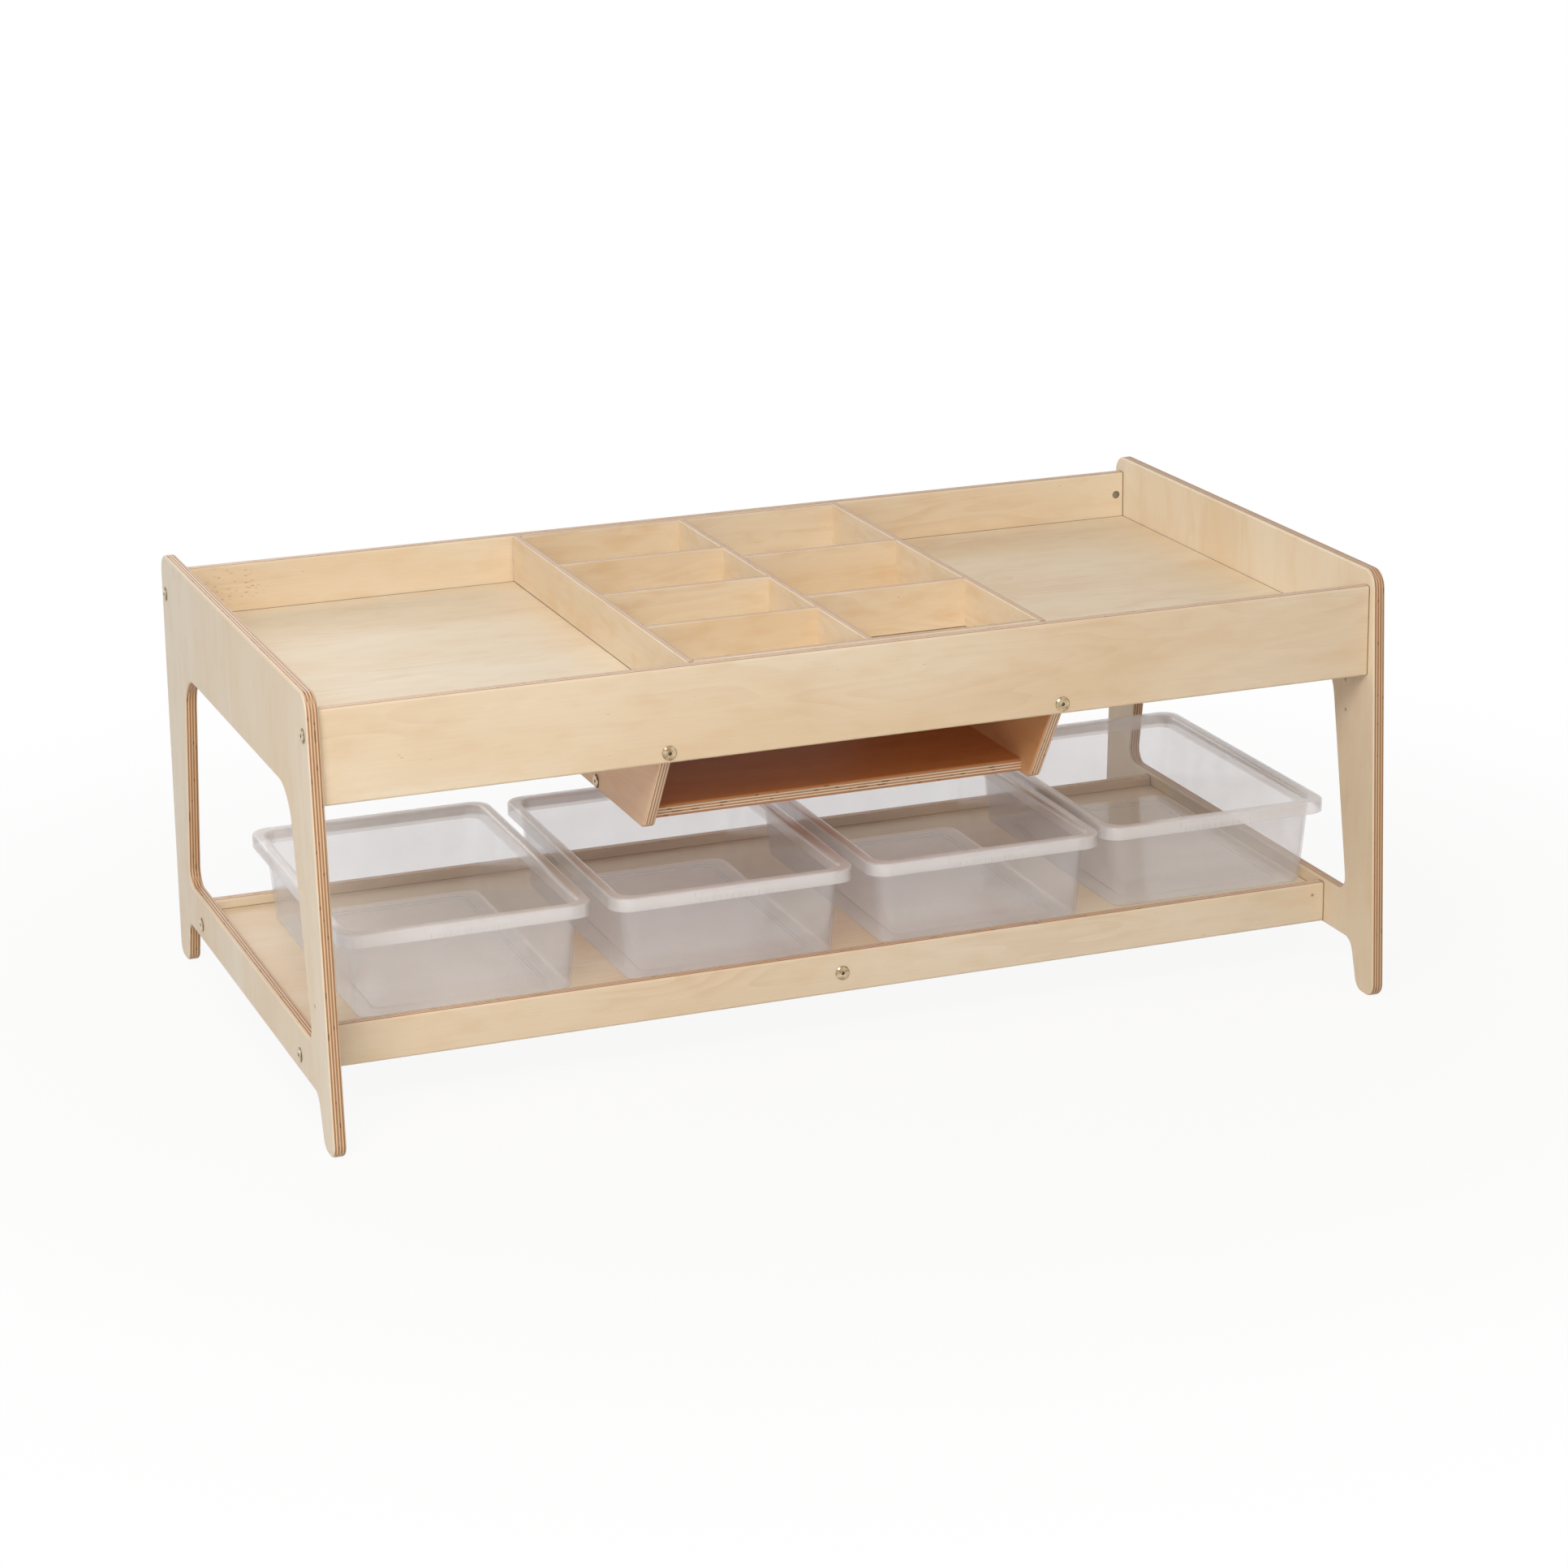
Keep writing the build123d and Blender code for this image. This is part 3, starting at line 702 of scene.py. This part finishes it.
@dataclass
class LowerShelf:
    """The two lower rails, the shelf board in their grooves and the batten under it."""

    rail_plies: int = 9
    shelf_plies: int = 5
    end_mm: float = 634.8
    side_mm: float = 232.8
    knots: tuple = ((619.1, -248.0, 95.4, 1.8),)

    def dress_all(self) -> list[str]:
        """Give the boards their plywood and return their names."""
        # Painted shade lines run along the joints at the boards' ends and sides
        ends = ((Axis.X, -self.end_mm), (Axis.X, self.end_mm))
        sides = ((Axis.Y, -self.side_mm), (Axis.Y, self.side_mm))
        boards = (
            BirchPly(
                "lower_front_rail", Axis.X, self.rail_plies, 6.0, knots=self.knots, painted_shade_lines=ends
            ),
            BirchPly("lower_back_rail", Axis.X, self.rail_plies, 7.0, painted_shade_lines=ends),
            BirchPly("lower_shelf", Axis.X, self.shelf_plies, 8.0, painted_shade_lines=ends + sides),
            BirchPly("shelf_batten", Axis.Y, self.rail_plies, 9.0),
        )
        for board in boards:
            dress(board.node, board.build())
        return [board.node for board in boards]


@dataclass
class UnderShelf:
    """The shelf under the play tray and the two brackets that carry it.

    Their colours are redder and darker than the other boards', most of all the shelf's deep tawny:
    painted shade for the dim, warm light under the play tray.
    """

    plies: int = 9

    def dress_all(self) -> list[str]:
        """Give the boards their plywood and return their names."""
        # Painted shade: redder, darker colours for the boards in the dim, warm light under the play
        # tray
        rosy_painted_shade = {"light": "F6D8BC", "warm": "F0C49E", "amber": "E3AC82"}
        peachy_painted_shade = {"light": "EABA8C", "warm": "DFA470", "amber": "CC8850"}
        tawny_painted_shade = {"light": "DC9358", "warm": "CF7D40", "amber": "BC672C"}
        boards = (
            BirchPly("bracket_left", Axis.Y, self.plies, 10.0, **rosy_painted_shade),
            BirchPly("bracket_right", Axis.Y, self.plies, 11.0, **peachy_painted_shade),
            BirchPly("under_shelf", Axis.X, self.plies, 12.0, **tawny_painted_shade),
        )
        for board in boards:
            dress(board.node, board.build())
        return [board.node for board in boards]


@dataclass
class CompartmentInsert:
    """The lift-out insert of thin plywood boards."""

    plies: int = 7
    first_seed: float = 20.0
    mottle: float = 0.45
    foot_mm: float = 446.2
    along_table: tuple[str, ...] = (
        "insert_front_wall",
        "insert_back_wall",
        "left_divider_front",
        "left_divider_middle",
        "left_divider_back",
        "right_divider_front",
        "right_divider_back",
    )
    front_to_back: tuple[str, ...] = ("insert_left_wall", "insert_centre_wall", "insert_right_wall")

    def dress_all(self) -> list[str]:
        """Give every wall and divider its plywood and return their names."""
        names = [(name, Axis.X) for name in self.along_table]
        names += [(name, Axis.Y) for name in self.front_to_back]
        for number, (name, grain) in enumerate(names):
            board = BirchPly(
                name,
                grain,
                self.plies,
                self.first_seed + number,
                mottle=self.mottle,
                # A painted shade line at the foot of each wall, where it stands on the floor
                painted_shade_lines=((Axis.Z, self.foot_mm),),
            )
            dress(name, board.build())
        return [name for name, _ in names]


@dataclass
class StorageTrays:
    """The four clear trays."""

    names: tuple[str, ...] = ("tray_1", "tray_2", "tray_3", "tray_4")
    plastic: ClearPolypropylene = ClearPolypropylene()

    def dress_all(self) -> list[str]:
        """Give the trays their clear plastic and return their names."""
        material = self.plastic.build()
        for name in self.names:
            dress(name, material)
        return list(self.names)


@dataclass
class Fasteners:
    """The connector bolts, barrel nuts and dowels."""

    bolts: tuple[str, ...] = ("panel_bolts", "bracket_bolts", "under_shelf_bolts", "batten_bolts")
    nuts: tuple[str, ...] = (
        "panel_barrel_nuts",
        "bracket_barrel_nuts",
        "under_shelf_barrel_nuts",
        "batten_barrel_nuts",
    )
    dowels: str = "rail_dowels"
    # The bright plating's tan and brown are partly a painted reflection of the wood round the bolts
    bright: PlatedSteel = PlatedSteel("nickel_plated_steel", "D2C2A4", "A88A64", 0.14)
    matt: PlatedSteel = PlatedSteel("zinc_plated_steel", "A9A69E", "8E8B84", 0.36)

    def dress_all(self) -> list[str]:
        """Give the fasteners their plating and return their names."""
        nickel = self.bright.build()
        zinc = self.matt.build()
        for name in self.bolts:
            dress(name, nickel)
        for name in self.nuts:
            dress(name, zinc)
        dress(self.dowels, TurnedBeech().build())
        return [*self.bolts, *self.nuts, self.dowels]


@dataclass(frozen=True)
class Softbox:
    """One square studio lamp, turned towards the middle of the table."""

    name: str
    place: tuple[float, float, float]
    size: float
    watts: float
    colour: str
    target: tuple[float, float, float] = (0.0, 0.0, 0.35)

    def hang(self) -> None:
        """Add the lamp to the scene."""
        lamp = bpy.data.lights.new(self.name, "AREA")
        lamp.energy = self.watts
        lamp.size = self.size
        lamp.color = linear(self.colour)[:3]
        softbox = bpy.data.objects.new(self.name, lamp)
        softbox.location = self.place
        view = Vector(self.target) - Vector(self.place)
        softbox.rotation_euler = view.to_track_quat("-Z", "Y").to_euler()
        bpy.context.scene.collection.objects.link(softbox)


@dataclass
class Studio:
    """A plain white floor and backdrop, and the soft lamps of a product studio."""

    floor_half: float = 30.0
    floor_paint: str = "DDDAD6"
    floor_own_light: float = 0.92
    shadow_reach: tuple[float, float] = (0.7, 1.7)
    sky_strength: float = 0.345
    sky_colour: str = "FCF9F4"
    lamps: tuple[Softbox, ...] = (
        Softbox("key_softbox", (-1.7, -2.4, 2.6), 1.6, 67.0, "FFFAF4"),
        Softbox("front_softbox", (-1.5, -3.2, 0.9), 1.2, 9.0, "FFF0E2"),
        Softbox("left_softbox", (-3.0, 0.2, 2.0), 1.2, 9.0, "D0E0FF"),
        Softbox("right_softbox", (2.4, -2.0, 1.6), 1.0, 4.0, "FFA85C"),
        Softbox("back_softbox", (-0.4, 2.7, 2.0), 1.6, 16.0, "FFFAF4"),
    )

    def seen_not_lit(self, tree: bpy.types.NodeTree) -> bpy.types.NodeSocket:
        """Return 1 for the rays that look at a surface, and 0 for those that light others."""
        rays = add_node(tree, "LightPath").node.outputs
        direct = add_node(
            tree, "Math", {0: rays["Is Camera Ray"], 1: rays["Is Glossy Ray"]}, operation="MAXIMUM"
        )
        return add_node(
            tree, "Math", {0: direct, 1: rays["Is Transmission Ray"]}, operation="MAXIMUM"
        )

    def build_floor(self) -> None:
        """Lay the white floor, which keeps the table's soft shadow."""
        mesh = bpy.data.meshes.new("studio_floor")
        shape = bmesh.new()
        bmesh.ops.create_grid(shape, x_segments=8, y_segments=8, size=self.floor_half)
        shape.to_mesh(mesh)
        shape.free()
        floor = bpy.data.objects.new("studio_floor", mesh)
        bpy.context.scene.collection.objects.link(floor)
        material = blank_material("white_studio_floor")
        tree = material.node_tree
        painted = add_node(tree, "BsdfDiffuse", {"Color": linear(self.floor_paint)})
        glow = add_node(tree, "Emission", {"Color": linear("FFFFFF"), "Strength": 1.0})
        # Near the table the paint shows through and keeps the shadow; far from it all is white
        place = add_node(tree, "TexCoord", output="Object")
        distance = add_node(tree, "VectorMath", {0: place}, "Value", operation="LENGTH")
        near, far = self.shadow_reach
        own_light = add_node(
            tree,
            "MapRange",
            {0: distance, 1: near, 2: far, 3: self.floor_own_light, 4: 1.0},
            interpolation_type="SMOOTHSTEP",
        )
        seen = self.seen_not_lit(tree)
        share = add_node(tree, "Math", {0: seen, 1: own_light}, operation="MULTIPLY")
        surface = add_node(tree, "MixShader", {0: share, 1: painted, 2: glow})
        add_node(tree, "OutputMaterial", {"Surface": surface})
        mesh.materials.append(material)

    def build_sky(self) -> None:
        """Set the even light of the room, and plain white where the room itself is seen."""
        world = bpy.data.worlds.new("white_studio")
        world.use_nodes = True
        tree = world.node_tree
        tree.nodes.clear()
        room = add_node(
            tree, "Background", {"Color": linear(self.sky_colour), "Strength": self.sky_strength}
        )
        white = add_node(tree, "Background", {"Color": linear("FFFFFF"), "Strength": 1.0})
        mixed = add_node(tree, "MixShader", {0: self.seen_not_lit(tree), 1: room, 2: white})
        add_node(tree, "OutputWorld", {"Surface": mixed})
        bpy.context.scene.world = world

    def build(self) -> None:
        """Build the floor and the room's light, and hang the lamps."""
        self.build_floor()
        self.build_sky()
        for lamp in self.lamps:
            lamp.hang()


@dataclass
class PhotoCamera:
    """The camera where the photograph was taken from, by the table's own edges."""

    place: tuple[float, float, float] = (-1.61582, -4.33091, 1.67820)
    turn_degrees: tuple[float, float, float] = (72.77337, 0.92017, -21.03182)
    lens_mm: float = PHOTO_LENS_MM
    sensor_mm: float = 36.0

    def build(self) -> None:
        """Create the camera and make it the scene's own."""
        data = bpy.data.cameras.new("photo_camera")
        data.lens = self.lens_mm
        data.sensor_width = self.sensor_mm
        data.sensor_fit = "HORIZONTAL"
        data.clip_end = 200.0
        camera = bpy.data.objects.new("photo_camera", data)
        camera.location = self.place
        camera.rotation_euler = [math.radians(angle) for angle in self.turn_degrees]
        bpy.context.scene.collection.objects.link(camera)
        bpy.context.scene.camera = camera


def main() -> None:
    """Build the camera and the studio, then dress the table piece by piece."""
    logging.basicConfig(level=logging.INFO, format="%(message)s")
    bpy.context.scene.view_settings.view_transform = "Standard"
    PhotoCamera().build()
    Studio().build()
    for assembly in (
        EndPanels(),
        PlayTray(),
        LowerShelf(),
        UnderShelf(),
        CompartmentInsert(),
        StorageTrays(),
        Fasteners(),
    ):
        for name in assembly.dress_all():
            log.info("%s: %s dressed", type(assembly).__name__, name)


if __name__ == "__main__":
    main()
